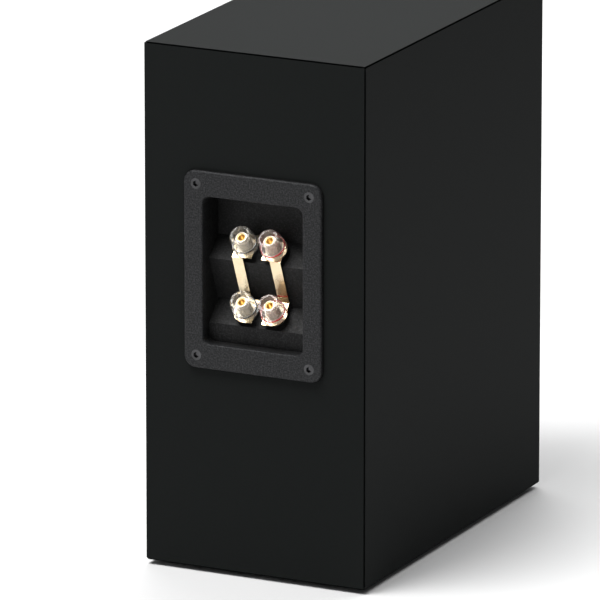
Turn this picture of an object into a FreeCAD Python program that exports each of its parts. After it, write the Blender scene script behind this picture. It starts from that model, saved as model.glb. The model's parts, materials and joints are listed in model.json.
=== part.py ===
"""Two-way bookshelf loudspeaker with a bi-wire terminal cup.

Millimetres, +Z up. The front baffle faces -Y, the terminal cup faces +Y, and the rubber feet
stand on Z = 0. Heights along a driver axis count from the baffle's front face into the cabinet.
Heights along a binding post count from the sloped shelf it stands on, outwards.
"""

import math
import os

import FreeCAD
import Part

# Cabinet
CABINET_WIDTH = 150.0
CABINET_DEPTH = 258.0
CABINET_HEIGHT = 330.0
PANEL = 15.0
GROOVE_INSET = 0.8
GROOVE_DEPTH = 2.4
FOOT_HEIGHT = 3.0
FOOT_RADIUS = 8.0
FOOT_INSET = 18.0
FOOT_CHAMFER = 0.8
BRACE_THICKNESS = 12.0
BRACE_FROM_MIDDLE = 10.0
BRACE_BAR = 20.0
BRACE_CORNER = 15.0
WADDING_THICKNESS = 12.0
WADDING_MARGIN = 18.0
WADDING_ABOVE_BOARD = 54.0
WADDING_ROUND = 3.0

# Grille peg sockets
PEG_RADIUS = 3.0
PEG_DEPTH = 9.0
PEG_INSET = 19.0
SOCKET_WALL = 1.5
SOCKET_RIM = 1.0
SOCKET_FLANGE = 1.5

# Woofer
WOOFER_RADIUS = 65.0
WOOFER_FLANGE = 4.0
WOOFER_RIM = 8.0
WOOFER_ROLL = 4.5
WOOFER_SKIN = 0.6
SURROUND_SEAT = 1.0
SURROUND_LIP = 2.6
GASKET_RISE = 1.2
GASKET_EDGE = 0.6
CONE_SLOPE = 0.83
CONE_SKIN = 0.8
CONE_NECK = 1.04
CONE_SHOULDER = 0.3
DUST_CAP_RADIUS = 18.5
DUST_CAP_RISE = 7.5
DUST_CAP_SKIN = 0.6
SPIDER_RADIUS = 36.0
SPIDER_SKIN = 0.4
SPIDER_LIP = 1.5
SPIDER_REST = 5.0
SPIDER_FOLDS = 10
SPIDER_SWING = 1.2
COIL_RADIUS = 13.5
COIL_WALL = 0.8
WINDING = 0.4
GAP_CLEARANCE = 0.5
LEDGE_DEPTH = 33.0
LEDGE_THICKNESS = 2.0
BASKET_DEPTH = 44.0
BASKET_WALL = 3.0
BASKET_PLATE = 2.5
BASKET_FOOT = 1.0
BASKET_TAPER_START = 0.5
BASKET_WINDOWS = 6
BASKET_WINDOW_WIDTH = 34.0
BASKET_WINDOW_MARGIN = 5.0
BASKET_WINDOW_INSET = 8.0
LUG_BLOCK_WIDTH = 16.0
LUG_BLOCK_DEPTH = 7.0
LUG_BLOCK_REACH = 10.0
LUG_BLOCK_SUNK = 2.0
TOP_PLATE = 6.0
MAGNET_RADIUS = 43.0
MAGNET_HEIGHT = 16.0
MAGNET_HOLE_GAP = 4.0
YOKE_PLATE = 5.0
YOKE_INSET = 3.0
YOKE_CHAMFER = 1.0
POLE_SET_BACK = 0.5
POLE_VENT = 4.0
WOOFER_TRAVEL = 4.0

# Tweeter
TWEETER_RADIUS = 47.0
TWEETER_FLANGE = 4.0
TWEETER_RIM = 10.0
TWEETER_DISH = 1.2
TWEETER_SCREW_INSET = 5.5
TAG_SPACING = 8.0
TAG_HALF_WIDTH = 2.0
TAG_GAP = 0.5
TAG_THICKNESS = 2.7
TAG_LENGTH = 14.0
DOME_RADIUS = 12.6
DOME_RISE = 6.5
DOME_SKIN = 0.4
DOME_INSET = 0.5
TWEETER_ROLL = 1.2
TWEETER_SURROUND_LIP = 1.8
TWEETER_COIL_RADIUS = 12.3
TWEETER_COIL_WALL = 0.6
TWEETER_COIL_OVERHANG = 1.5
TWEETER_GAP = 0.5
TWEETER_MAGNET_RADIUS = 32.0
TWEETER_MAGNET_HEIGHT = 10.0
TWEETER_PLATE = 4.0
TWEETER_PLATE_INSET = 1.0
TWEETER_POLE_SET_BACK = 1.0

# Port
PORT_RADIUS = 18.0
PORT_WALL = 2.0
PORT_LENGTH = 110.0
PORT_FLARE = 10.0
PORT_LIP = 2.0
PORT_LIP_WIDTH = 3.0
PORT_SEAT = 1.5
PORT_CHAMFER = 0.5

# Terminal cup
CUP_HEIGHT = 191.0
CUP_FLANGE_WIDTH = 93.4
CUP_FLANGE_HEIGHT = 125.0
CUP_FLANGE_CORNER = 7.5
CUP_FRONT = 3.0
CUP_EDGE_ROUND = 1.4
GASKET = 0.8
GASKET_OVERHANG = 0.4
RECESS_WIDTH = 68.0
RECESS_HEIGHT = 93.5
RECESS_CORNER = 5.0
RECESS_DEPTH = 21.2
RECESS_DRAFT = 0.4
RECESS_LIP_ROUND = 1.0
SHELF_TOP = 18.4
SHELF_PITCH = 41.0
SHELF_RUN = 12.4
CUP_WALL = 2.5
CUP_OPENING = 0.5
CUP_SCREW_X = 38.4
CUP_SCREW_Z = 54.3

# Binding posts
POST_SPACING = 19.05
THREAD_RADIUS = 3.0
THREAD_CLEARANCE = 0.05
SOCKET_RADIUS = 2.0
SOCKET_DEPTH = 14.0
COLLAR_HEIGHT = 3.0
COLLAR_RADIUS = 6.0
COLLAR_STEP = 1.0
COLLAR_STEP_LOW = 1.6
COLLAR_STEP_HIGH = 2.4
SPIGOT_WALL = 1.0
SHOULDER_INSET = 1.2
SHAFT_CHAMFER = 0.4
SHAFT_TAIL = 3.0
SHOULDER = 0.7
LINK_THICKNESS = 0.95
PLAY = 0.05
CAP_HEIGHT = 13.15
CAP_FLANGE = 2.8
CAP_FLANGE_RADIUS = 8.2
CAP_FLANGE_NOTCHES = 40
CAP_NOTCH_RADIUS = 0.3
CAP_NOTCH_OUTSET = 0.12
CAP_FLANGE_CHAMFER = 0.4
CAP_RADIUS = 7.8
CAP_SKIRT = 1.6
CAP_TIP_FLATS = 12.4
CAP_FACETS = 8
CAP_EDGE = 0.2
CAP_TURN = {"black": 0.0, "red": -12.5}
RING_HEIGHT = 0.8
RING_RADIUS = 7.95
RING_GRIP = 0.9
INSERT_WALL = 1.4
INSERT_SIDES = 12
INSERT_FOOT = 1.2
NOSE_WALL = 0.6
INSERT_SUNK = 2.9
SHAFT_SUNK = 0.2
WELL_GAP = 1.1
WELL_DEPTH = 5.4
NUT_FLATS = 10.0
NUT_HEIGHT = 4.5
LUG_THICKNESS = 0.8
LUG_REACH = 13.0
LUG_WIDTH = 5.0

# Jumper links
LINK_RADIUS = 8.3
LINK_TAIL = 6.2
LINK_SLOT_CLEARANCE = 0.15
LINK_STRIP_WIDTH = 7.2
LINK_STRIP_OFFSET = 3.3
LINK_UPPER_BEND = 8.9
LINK_LOWER_BEND = 8.8

# Crossover and leads
BOARD_WIDTH = 84.0
BOARD_LENGTH = 74.0
BOARD_THICKNESS = 1.6
BOARD_FROM_BACK = 6.0
STANDOFF_HEIGHT = 6.0
STANDOFF_RADIUS = 3.0
STANDOFF_INSET = 5.0
COIL_ROW = 8.0
COIL_BORE = 7.0
LARGE_COIL_RADIUS = 14.0
LARGE_COIL_HEIGHT = 13.0
LARGE_COIL_X = -26.0
SMALL_COIL_RADIUS = 12.0
SMALL_COIL_HEIGHT = 12.0
SMALL_COIL_X = 24.0
LARGE_CAPACITOR_RADIUS = 8.0
LARGE_CAPACITOR_LENGTH = 30.0
SMALL_CAPACITOR_RADIUS = 6.0
SMALL_CAPACITOR_LENGTH = 22.0
SMALL_CAPACITOR_X = 27.0
SMALL_CAPACITOR_Y = -22.0
RESISTOR_LENGTH = 24.0
RESISTOR_SIDE = 8.0
RESISTOR_X = -27.0
RESISTOR_ROWS = (-18.0, -28.0)
LEAD_RADIUS = 1.0
LEAD_BEND = 8.0
LEAD_FROM_TAB_END = 2.5
UPPER_LEAD_RUN = 24.0
LOWER_LEAD_RUN = 16.0
WOOFER_LEAD_X = 4.0
WOOFER_LEAD_BOARD_GAP = 9.0
WOOFER_LEAD_DROP = 5.0
TWEETER_LEAD_BOARD_GAP = 19.0
TWEETER_LEAD_DROP = 1.85

# Screws and shared fits
WOOFER_SCREW_HEAD = 3.5
TWEETER_SCREW_HEAD = 3.2
CUP_SCREW_HEAD = 3.4
SCREW_SHANK = 1.75
SCREW_CLEARANCE = 0.2
SCREW_SUNK = 0.1
SCREW_EDGE = 0.3
SCREW_SHORT = 2.0
PILOT_SHORT = 1.0
REBATE_CLEARANCE = 0.5
DRIVER_SPACING = 4.0

FRONT = -CABINET_DEPTH / 2
BACK = CABINET_DEPTH / 2
BASE = FOOT_HEIGHT
TOP = FOOT_HEIGHT + CABINET_HEIGHT
INSIDE_X = CABINET_WIDTH / 2 - PANEL
INSIDE_Y = CABINET_DEPTH / 2 - PANEL
FLOOR = BASE + PANEL
CEILING = TOP - PANEL
TWEETER_Z = TOP - PANEL - TWEETER_RADIUS
WOOFER_Z = TWEETER_Z - TWEETER_RADIUS - DRIVER_SPACING - WOOFER_RADIUS
PORT_RIM = PORT_RADIUS + PORT_FLARE + PORT_LIP_WIDTH
PORT_Z = FLOOR + PORT_RIM
CUP_Z = BASE + CUP_HEIGHT
RECESS_BACK = CUP_FRONT - RECESS_DEPTH
LINK_HEIGHT = COLLAR_HEIGHT + SHOULDER + PLAY
CAP_BASE = LINK_HEIGHT + LINK_THICKNESS + PLAY
CAP_TOP = CAP_BASE + CAP_HEIGHT
RING_BASE = CAP_BASE + CAP_FLANGE + PLAY
INSERT_RADIUS = THREAD_RADIUS + INSERT_WALL
INSERT_NOSE = THREAD_RADIUS + NOSE_WALL
WELL_RADIUS = INSERT_NOSE + WELL_GAP
MAGNET_FOOT = MAGNET_RADIUS + BASKET_FOOT
BOARD_TOP = FLOOR + STANDOFF_HEIGHT + BOARD_THICKNESS
BOARD_BACK = INSIDE_Y - BOARD_FROM_BACK
BOARD_MIDDLE = BOARD_BACK - BOARD_LENGTH / 2
MOTOR_TOP = BASKET_DEPTH + TOP_PLATE
MOTOR_END = MOTOR_TOP + MAGNET_HEIGHT
TWEETER_SEAT = TWEETER_FLANGE + DOME_SKIN
TWEETER_MOTOR_END = TWEETER_SEAT + TWEETER_PLATE + TWEETER_MAGNET_HEIGHT
BOARD_FRONT = BOARD_MIDDLE - BOARD_LENGTH / 2
POSTS = {
    "upper_black": (1, 0),
    "upper_red": (-1, 0),
    "lower_black": (1, 1),
    "lower_red": (-1, 1),
}


def vec(x, y, z):
    return FreeCAD.Vector(x, y, z)


def aimed(origin, direction):
    """Placement at origin with local Z along direction."""
    return FreeCAD.Placement(origin, FreeCAD.Rotation(vec(0, 0, 1), direction))


def placed(shape, placement):
    moved = shape.copy()
    moved.Placement = placement.multiply(moved.Placement)
    return moved


def on_front(shape, z, x=0.0):
    """Shape built along +Z, set into the front baffle at height z."""
    return placed(shape, aimed(vec(x, FRONT, z), vec(0, 1, 0)))


def block(x, y, z):
    """Box between three (low, high) pairs."""
    size = [high - low for low, high in (x, y, z)]
    return Part.makeBox(*size, vec(x[0], y[0], z[0]))


def disc(radius, low, high, centre=(0.0, 0.0)):
    return Part.makeCylinder(radius, high - low, vec(centre[0], centre[1], low))


def ring(inner, outer, low, high):
    return disc(outer, low, high).cut(disc(inner, low, high))


def line(start, end):
    return Part.LineSegment(start, end).toShape()


def arc(start, middle, end):
    return Part.Arc(start, middle, end).toShape()


def lathe(corners):
    """Solid turned about Z from (radius, height) corners."""
    points = [vec(radius, 0, height) for radius, height in corners]
    outline = Part.makePolygon(points + points[:1])
    return Part.Face(outline).revolve(vec(0, 0, 0), vec(0, 0, 1), 360)


def lathe_edges(edges):
    """Solid turned about Z from edges in the XZ plane."""
    return Part.Face(Part.Wire(edges)).revolve(vec(0, 0, 0), vec(0, 0, 1), 360)


def polygon_wire(sides, flats, height):
    """Regular polygon across the given flats, at a height."""
    reach = flats / 2 / math.cos(math.pi / sides)
    angles = [2 * math.pi * (k + 0.5) / sides for k in range(sides + 1)]
    return Part.makePolygon([vec(reach * math.cos(a), reach * math.sin(a), height) for a in angles])


def around(shape, count, first_angle):
    """Copies of a shape spaced evenly about Z."""
    turns = [first_angle + 360.0 * k / count for k in range(count)]
    origin = vec(0, 0, 0)
    return [placed(shape, FreeCAD.Placement(origin, FreeCAD.Rotation(vec(0, 0, 1), t))) for t in turns]


def rounded_outline(width, height, radius, y):
    """Closed outline in a plane of constant Y, with rounded corners."""
    x, z = width / 2 - radius, height / 2 - radius
    corners = ((x, z), (-x, z), (-x, -z), (x, -z))
    arcs = []
    for quarter, (cx, cz) in enumerate(corners):
        angles = [math.pi / 2 * (quarter + step) for step in (0.0, 0.5, 1.0)]
        spots = [vec(cx + radius * math.cos(a), y, cz + radius * math.sin(a)) for a in angles]
        arcs.append(arc(*spots))
    edges = []
    for current, following in zip(arcs, arcs[1:] + arcs[:1]):
        edges += [current, line(current.Vertexes[-1].Point, following.Vertexes[0].Point)]
    return Part.Wire(edges)


def rounded_plate(width, height, radius, low, high):
    outline = rounded_outline(width, height, radius, low)
    return Part.Face(outline).extrude(vec(0, high - low, 0))


def edges_at(shape, y, reach):
    """Edges that lie at one Y, inside a half-width reach."""
    boxes = [(edge, edge.BoundBox) for edge in shape.Edges]
    flat = [(e, b) for e, b in boxes if abs(b.YMin - y) < 1e-4 and abs(b.YMax - y) < 1e-4]
    return [e for e, b in flat if max(abs(b.XMin), abs(b.XMax)) < reach]


def screw(head, length):
    """Countersunk screw with a hexagon socket, pointing along +Z, its head sunk below Z = 0."""
    sunk = SCREW_SUNK
    seat = sunk + SCREW_EDGE
    body = lathe([
        (0, sunk),
        (head, sunk),
        (head, seat),
        (SCREW_SHANK, seat + head - SCREW_SHANK),
        (SCREW_SHANK, length - SCREW_SHANK),
        (0, length),
    ])
    socket = Part.Face(polygon_wire(6, head, sunk)).extrude(vec(0, 0, head * 0.5))
    return body.cut(socket)


def screw_hole(head, depth):
    """Cutter for a countersunk screw's seat and clearance hole."""
    hole, seat = SCREW_SHANK + SCREW_CLEARANCE, SCREW_SUNK + SCREW_EDGE
    return lathe([(0, 0), (head, 0), (head, seat), (hole, seat + head - hole), (hole, depth), (0, depth)])


def pilot_hole(depth):
    return disc(SCREW_SHANK, 0, depth)


def half_roll(inner, middle, outer, roll, skin, base):
    """Flexible ring whose half-round roll bulges towards -Z between two flat lips."""
    small, edge = roll - skin, math.sqrt(roll * roll - skin * skin)
    top = base - skin
    crest = vec(middle, 0, base - roll)
    valley = vec(middle, 0, base - small)
    near, far = vec(middle - edge, 0, top), vec(middle + edge, 0, top)
    under_near, under_far = vec(middle - small, 0, base), vec(middle + small, 0, base)
    edges = [
        line(vec(inner, 0, base), under_near),
        arc(under_near, valley, under_far),
        line(under_far, vec(outer, 0, base)),
        line(vec(outer, 0, base), vec(outer, 0, top)),
        line(vec(outer, 0, top), far),
        arc(far, crest, near),
        line(near, vec(inner, 0, top)),
        line(vec(inner, 0, top), vec(inner, 0, base)),
    ]
    return lathe_edges(edges)


def shell_dome(radius, base, rise, skin, foot):
    """Thin domed cap bulging towards -Z, its foot inset by skin and dropped by foot."""
    def bulge(rim, height, low):
        sphere = (rim * rim + height * height) / (2 * height)
        half = math.asin(rim / sphere) / 2
        middle = vec(sphere * math.sin(half), 0, low - height + sphere * (1 - math.cos(half)))
        return arc(vec(rim, 0, low), middle, vec(0, 0, low - height))

    outside = bulge(radius, rise, base)
    inside = bulge(radius - skin, rise - skin + foot, base + foot)
    edges = [
        outside,
        line(vec(0, 0, base - rise), vec(0, 0, base - rise + skin)),
        inside,
        line(vec(radius - skin, 0, base + foot), vec(radius, 0, base)),
    ]
    return lathe_edges(edges)


def lead(points):
    """Round lead along straight runs joined by tangent arcs."""
    edges = []
    start = points[0]
    for before, corner, after in zip(points, points[1:], points[2:]):
        arriving = (corner - before).normalize()
        leaving = (after - corner).normalize()
        half = arriving.getAngle(leaving) / 2
        back_off = LEAD_BEND * math.tan(half)
        inward = (leaving - arriving).normalize()
        first, last = corner - arriving * back_off, corner + leaving * back_off
        middle = corner + inward * (LEAD_BEND / math.cos(half) - LEAD_BEND)
        edges += [line(start, first), arc(first, middle, last)]
        start = last
    edges.append(line(start, points[-1]))
    section = Part.Wire(Part.makeCircle(LEAD_RADIUS, points[0], points[1] - points[0]))
    return Part.Wire(edges).makePipeShell([section], True, False)


# Cabinet


def mitred_panel(width, height):
    """Board with 45 degree edges: outer face at Z = 0, inner face at Z = PANEL."""
    sections = []
    for inset, depth in ((GROOVE_INSET, 0.0), (GROOVE_DEPTH, GROOVE_DEPTH), (PANEL, PANEL)):
        x, y = width / 2 - inset, height / 2 - inset
        corners = [vec(-x, -y, depth), vec(x, -y, depth), vec(x, y, depth), vec(-x, y, depth)]
        sections.append(Part.makePolygon(corners + corners[:1]))
    return Part.makeLoft(sections, True, True)


def flat_panel(z, direction):
    return placed(mitred_panel(CABINET_WIDTH, CABINET_DEPTH), aimed(vec(0, 0, z), direction))


def side_panel(side):
    middle = vec(side * CABINET_WIDTH / 2, 0, (BASE + TOP) / 2)
    return placed(mitred_panel(CABINET_HEIGHT, CABINET_DEPTH), aimed(middle, vec(-side, 0, 0)))


def end_panel(side):
    middle = vec(0, side * CABINET_DEPTH / 2, (BASE + TOP) / 2)
    return placed(mitred_panel(CABINET_WIDTH, CABINET_HEIGHT), aimed(middle, vec(0, -side, 0)))


def peg_places():
    x = CABINET_WIDTH / 2 - PEG_INSET
    return [(sx * x, z) for sx in (-1, 1) for z in (BASE + PEG_INSET, TOP - PEG_INSET)]


def front_baffle():
    board = end_panel(-1)
    cutters = [
        on_front(disc(WOOFER_RADIUS + REBATE_CLEARANCE, 0, WOOFER_FLANGE), WOOFER_Z),
        on_front(disc(WOOFER_RADIUS - WOOFER_RIM + REBATE_CLEARANCE, 0, PANEL), WOOFER_Z),
        on_front(disc(TWEETER_RADIUS + REBATE_CLEARANCE, 0, TWEETER_FLANGE), TWEETER_Z),
        on_front(disc(TWEETER_RADIUS - TWEETER_RIM, 0, PANEL), TWEETER_Z),
        on_front(disc(PORT_RIM, 0, PORT_LIP), PORT_Z),
        on_front(disc(PORT_RIM - PORT_SEAT, 0, PANEL), PORT_Z),
    ]
    socket = peg_socket_body()
    cutters += [on_front(socket, z, x) for x, z in peg_places()]
    for z, places in ((WOOFER_Z, woofer_screw_places()), (TWEETER_Z, tweeter_screw_places())):
        cutters += [on_front(placed(pilot_hole(PANEL - PILOT_SHORT), shift(place)), z) for place in places]
    return board.cut(cutters)


def back_panel():
    board = end_panel(1)
    opening = in_cup(cup_opening(-PANEL, 0))
    return board.cut([opening] + cup_screws(pilot_hole(CUP_FRONT + PANEL - PILOT_SHORT)))


def cup_opening(low, high):
    """Cutter for the cup's sleeve, a little wider than the sleeve."""
    grow = 2 * (CUP_WALL + CUP_OPENING)
    return rounded_plate(RECESS_WIDTH + grow, RECESS_HEIGHT + grow, RECESS_CORNER + CUP_WALL, low, high)


def window_brace():
    y = (BRACE_FROM_MIDDLE, BRACE_FROM_MIDDLE + BRACE_THICKNESS)
    height = CEILING - FLOOR
    plate = block((-INSIDE_X, INSIDE_X), y, (FLOOR, CEILING))
    window_height = (height - 3 * BRACE_BAR) / 2
    window = rounded_plate(2 * (INSIDE_X - BRACE_BAR), window_height, BRACE_CORNER, y[0], y[1])
    heights = [FLOOR + BRACE_BAR + window_height / 2, CEILING - BRACE_BAR - window_height / 2]
    return plate.cut([placed(window, FreeCAD.Placement(vec(0, 0, z), FreeCAD.Rotation())) for z in heights])


def rubber_feet():
    x, y = CABINET_WIDTH / 2 - FOOT_INSET, CABINET_DEPTH / 2 - FOOT_INSET
    foot = lathe([
        (0, 0),
        (FOOT_RADIUS - FOOT_CHAMFER, 0),
        (FOOT_RADIUS, FOOT_CHAMFER),
        (FOOT_RADIUS, FOOT_HEIGHT),
        (0, FOOT_HEIGHT),
    ])
    places = [vec(sx * x, sy * y, 0) for sx in (-1, 1) for sy in (-1, 1)]
    return Part.makeCompound([placed(foot, FreeCAD.Placement(p, FreeCAD.Rotation())) for p in places])


def peg_socket_body():
    radius, end = PEG_RADIUS + SOCKET_WALL, SOCKET_RIM + PEG_DEPTH
    rim = radius + SOCKET_FLANGE
    return lathe([(0, 0), (rim, 0), (rim, SOCKET_RIM), (radius, SOCKET_RIM), (radius, end), (0, end)])


def grille_sockets():
    bored = peg_socket_body().cut(disc(PEG_RADIUS, 0, PEG_DEPTH))
    return Part.makeCompound([on_front(bored, z, x) for x, z in peg_places()])


def port_tube():
    """Tube with a quarter-round flare at the baffle and a small one inside."""
    mouth, bore, outside = PORT_RADIUS + PORT_FLARE, PORT_RADIUS, PORT_RADIUS + PORT_WALL
    corner = PORT_FLARE * (1 - math.sqrt(0.5))
    seat, flare_end = PORT_RIM - PORT_SEAT, PORT_FLARE + PORT_WALL
    corners = [
        (mouth, 0),
        (PORT_RIM, 0),
        (PORT_RIM, PORT_LIP),
        (seat, PORT_LIP),
        (seat, flare_end),
        (outside, flare_end),
        (outside, PORT_LENGTH),
        (bore + PORT_CHAMFER, PORT_LENGTH),
        (bore, PORT_LENGTH - PORT_WALL),
        (bore, PORT_FLARE),
    ]
    points = [vec(radius, 0, height) for radius, height in corners]
    edges = [line(start, end) for start, end in zip(points, points[1:])]
    edges.append(arc(points[-1], vec(bore + corner, 0, corner), points[0]))
    return on_front(lathe_edges(edges), PORT_Z)


def damping_wadding():
    y = (BRACE_FROM_MIDDLE + BRACE_THICKNESS + WADDING_MARGIN, INSIDE_Y - WADDING_MARGIN)
    z = (BOARD_TOP + WADDING_ABOVE_BOARD, CEILING - WADDING_MARGIN)
    pads = [
        block((-INSIDE_X, -INSIDE_X + WADDING_THICKNESS), y, z),
        block((INSIDE_X - WADDING_THICKNESS, INSIDE_X), y, z),
    ]
    return Part.makeCompound([pad.makeFillet(WADDING_ROUND, pad.Edges) for pad in pads])


# Woofer


def on_circle(radius, count, first_angle):
    angles = [math.radians(first_angle + 360.0 * k / count) for k in range(count)]
    return [(radius * math.cos(a), radius * math.sin(a)) for a in angles]


def woofer_screw_places():
    return on_circle(WOOFER_RADIUS - WOOFER_RIM / 2, 4, 45)


def roll_middle():
    return WOOFER_RADIUS - WOOFER_RIM - 2 * WOOFER_ROLL


def cone_rim():
    return roll_middle() - WOOFER_ROLL + WOOFER_SKIN


def cone_depth(radius):
    """Depth of the cone's front surface at a radius."""
    return SURROUND_SEAT + (cone_rim() - SURROUND_LIP - radius) * CONE_SLOPE


def woofer_basket():
    rim = WOOFER_RADIUS - WOOFER_RIM
    start, plate = rim + BASKET_TAPER_START, BASKET_DEPTH - BASKET_PLATE
    coil_hole, ledge_end = COIL_RADIUS + WINDING + SPIDER_LIP, LEDGE_DEPTH + LEDGE_THICKNESS

    def outer(depth):
        return start - (start - MAGNET_FOOT) * (depth - WOOFER_FLANGE) / (plate - WOOFER_FLANGE)

    body = lathe([
        (rim - WOOFER_ROLL, SURROUND_SEAT),
        (rim, SURROUND_SEAT),
        (rim, 0.0),
        (WOOFER_RADIUS, 0.0),
        (WOOFER_RADIUS, WOOFER_FLANGE),
        (outer(WOOFER_FLANGE), WOOFER_FLANGE),
        (MAGNET_FOOT, plate),
        (MAGNET_FOOT, BASKET_DEPTH),
        (coil_hole, BASKET_DEPTH),
        (coil_hole, plate),
        (outer(plate) - BASKET_WALL, plate),
        (outer(ledge_end) - BASKET_WALL, ledge_end),
        (SPIDER_RADIUS, ledge_end),
        (SPIDER_RADIUS, LEDGE_DEPTH),
        (outer(LEDGE_DEPTH) - BASKET_WALL, LEDGE_DEPTH),
        (outer(WOOFER_FLANGE) - BASKET_WALL, WOOFER_FLANGE),
        (rim - WOOFER_ROLL, WOOFER_FLANGE),
    ])
    across_window = (-BASKET_WINDOW_WIDTH / 2, BASKET_WINDOW_WIDTH / 2)
    window_depth = (WOOFER_FLANGE + BASKET_WINDOW_MARGIN, LEDGE_DEPTH - BASKET_WALL)
    window = block((MAGNET_FOOT - BASKET_WINDOW_INSET, WOOFER_RADIUS), across_window, window_depth)
    cutter = screw_hole(WOOFER_SCREW_HEAD, WOOFER_FLANGE)
    holes = [placed(cutter, shift(p)) for p in woofer_screw_places()]
    body = body.cut(around(window, BASKET_WINDOWS, 0) + holes)
    return on_front(body.fuse(basket_lug_block()), WOOFER_Z)


def basket_lug_block():
    """Moulded block on the basket's flank that the leads end in."""
    x = (-LUG_BLOCK_WIDTH / 2, LUG_BLOCK_WIDTH / 2)
    y = (MAGNET_FOOT - LUG_BLOCK_SUNK, MAGNET_FOOT - LUG_BLOCK_SUNK + LUG_BLOCK_REACH)
    end = BASKET_DEPTH - BASKET_FOOT
    return block(x, y, (end - LUG_BLOCK_DEPTH, end))


def shift(place, z=0.0):
    return FreeCAD.Placement(vec(place[0], place[1], z), FreeCAD.Rotation())


def woofer_gasket():
    rim = WOOFER_RADIUS - WOOFER_RIM
    low, high = -GASKET_RISE, SURROUND_SEAT - WOOFER_SKIN
    inner = rim - WOOFER_ROLL + GASKET_OVERHANG
    profile = [
        (inner, high),
        (inner, low + GASKET_EDGE),
        (inner + GASKET_EDGE, low),
        (rim - GASKET_EDGE, low),
        (rim, low + GASKET_EDGE),
        (rim, high),
    ]
    return on_front(lathe(profile), WOOFER_Z)


def woofer_surround():
    rim = WOOFER_RADIUS - WOOFER_RIM
    inner = cone_rim() - SURROUND_LIP
    skin = half_roll(inner, roll_middle(), rim, WOOFER_ROLL, WOOFER_SKIN, SURROUND_SEAT)
    return on_front(skin, WOOFER_Z)


def woofer_cone():
    rim, neck = cone_rim(), COIL_RADIUS
    turn = rim - SURROUND_LIP
    profile = [
        (rim, SURROUND_SEAT),
        (rim, SURROUND_SEAT + CONE_SKIN),
        (turn - CONE_SHOULDER, SURROUND_SEAT + CONE_SKIN),
        (neck, cone_depth(neck) + CONE_NECK),
        (neck, cone_depth(neck)),
        (turn, SURROUND_SEAT),
    ]
    return on_front(lathe(profile), WOOFER_Z)


def woofer_dust_cap():
    radius, skin = DUST_CAP_RADIUS, DUST_CAP_SKIN
    cap = shell_dome(radius, cone_depth(radius), DUST_CAP_RISE, skin, skin * CONE_SLOPE)
    return on_front(cap, WOOFER_Z)


def woofer_spider():
    """Corrugated disc from the voice coil to the basket's ledge."""
    flat, first = LEDGE_DEPTH - SPIDER_SKIN, COIL_RADIUS + SPIDER_LIP
    step = (SPIDER_RADIUS - first - SPIDER_LIP) / SPIDER_FOLDS
    front = [(COIL_RADIUS, flat), (first, flat)]
    for fold in range(SPIDER_FOLDS):
        swing = SPIDER_SWING if fold % 2 else -SPIDER_SWING
        front.append((first + step * (fold + 0.5), flat + swing))
    front += [(SPIDER_RADIUS, flat), (SPIDER_RADIUS + SPIDER_REST, flat)]
    rear = [(radius, height + SPIDER_SKIN) for radius, height in reversed(front)]
    return on_front(lathe(front + rear), WOOFER_Z)


def woofer_voice_coil():
    inner, end = COIL_RADIUS - COIL_WALL, MOTOR_TOP + WOOFER_TRAVEL
    start = cone_depth(COIL_RADIUS) - COIL_WALL
    winding = BASKET_DEPTH - WOOFER_TRAVEL
    profile = [
        (inner, start),
        (COIL_RADIUS, start),
        (COIL_RADIUS, winding),
        (COIL_RADIUS + WINDING, winding),
        (COIL_RADIUS + WINDING, end),
        (inner, end),
    ]
    return on_front(lathe(profile), WOOFER_Z)


def woofer_top_plate():
    hole = COIL_RADIUS + WINDING + GAP_CLEARANCE
    plate = ring(hole, MAGNET_RADIUS - YOKE_INSET, BASKET_DEPTH, MOTOR_TOP)
    return on_front(plate, WOOFER_Z)


def woofer_magnet():
    return on_front(ring(COIL_RADIUS + MAGNET_HOLE_GAP, MAGNET_RADIUS, MOTOR_TOP, MOTOR_END), WOOFER_Z)


def woofer_yoke():
    """Back plate and pole piece in one, vented through the middle."""
    pole, plate = COIL_RADIUS - COIL_WALL - GAP_CLEARANCE, MAGNET_RADIUS - YOKE_INSET
    start, end = BASKET_DEPTH + POLE_SET_BACK, MOTOR_END + YOKE_PLATE
    profile = [
        (POLE_VENT, start),
        (pole, start),
        (pole, MOTOR_END),
        (plate, MOTOR_END),
        (plate, end - YOKE_CHAMFER),
        (plate - YOKE_CHAMFER, end),
        (POLE_VENT, end),
    ]
    return on_front(lathe(profile), WOOFER_Z)


def woofer_screws():
    part = screw(WOOFER_SCREW_HEAD, PANEL - SCREW_SHORT)
    return Part.makeCompound([on_front(placed(part, shift(p)), WOOFER_Z) for p in woofer_screw_places()])


# Tweeter


def tweeter_screw_places():
    return on_circle(TWEETER_RADIUS - TWEETER_SCREW_INSET, 4, 45)


def tweeter_mouth():
    return DOME_RADIUS + 3 * TWEETER_ROLL


def tweeter_faceplate():
    """Flange with a shallow dish around the dome and two terminal tags behind."""
    back, mouth, plate = TWEETER_FLANGE, tweeter_mouth(), TWEETER_MAGNET_RADIUS - TWEETER_PLATE_INSET
    lip = mouth + TWEETER_SURROUND_LIP
    body = lathe([
        (plate - TWEETER_PLATE_INSET, 0.0),
        (TWEETER_RADIUS, 0.0),
        (TWEETER_RADIUS, back),
        (plate, back),
        (plate, TWEETER_SEAT),
        (lip, TWEETER_SEAT),
        (lip, back),
        (mouth, back),
        (mouth, back - TWEETER_DISH),
    ])
    holes = [placed(screw_hole(TWEETER_SCREW_HEAD, back), shift(p)) for p in tweeter_screw_places()]
    start = TWEETER_MAGNET_RADIUS + TAG_GAP
    y, z = (start, start + TAG_THICKNESS), (back - TAG_GAP, back + TAG_LENGTH)
    tags = [block((x - TAG_HALF_WIDTH, x + TAG_HALF_WIDTH), y, z) for x in (-TAG_SPACING, TAG_SPACING)]
    return on_front(body.cut(holes).fuse(tags), TWEETER_Z)


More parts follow.
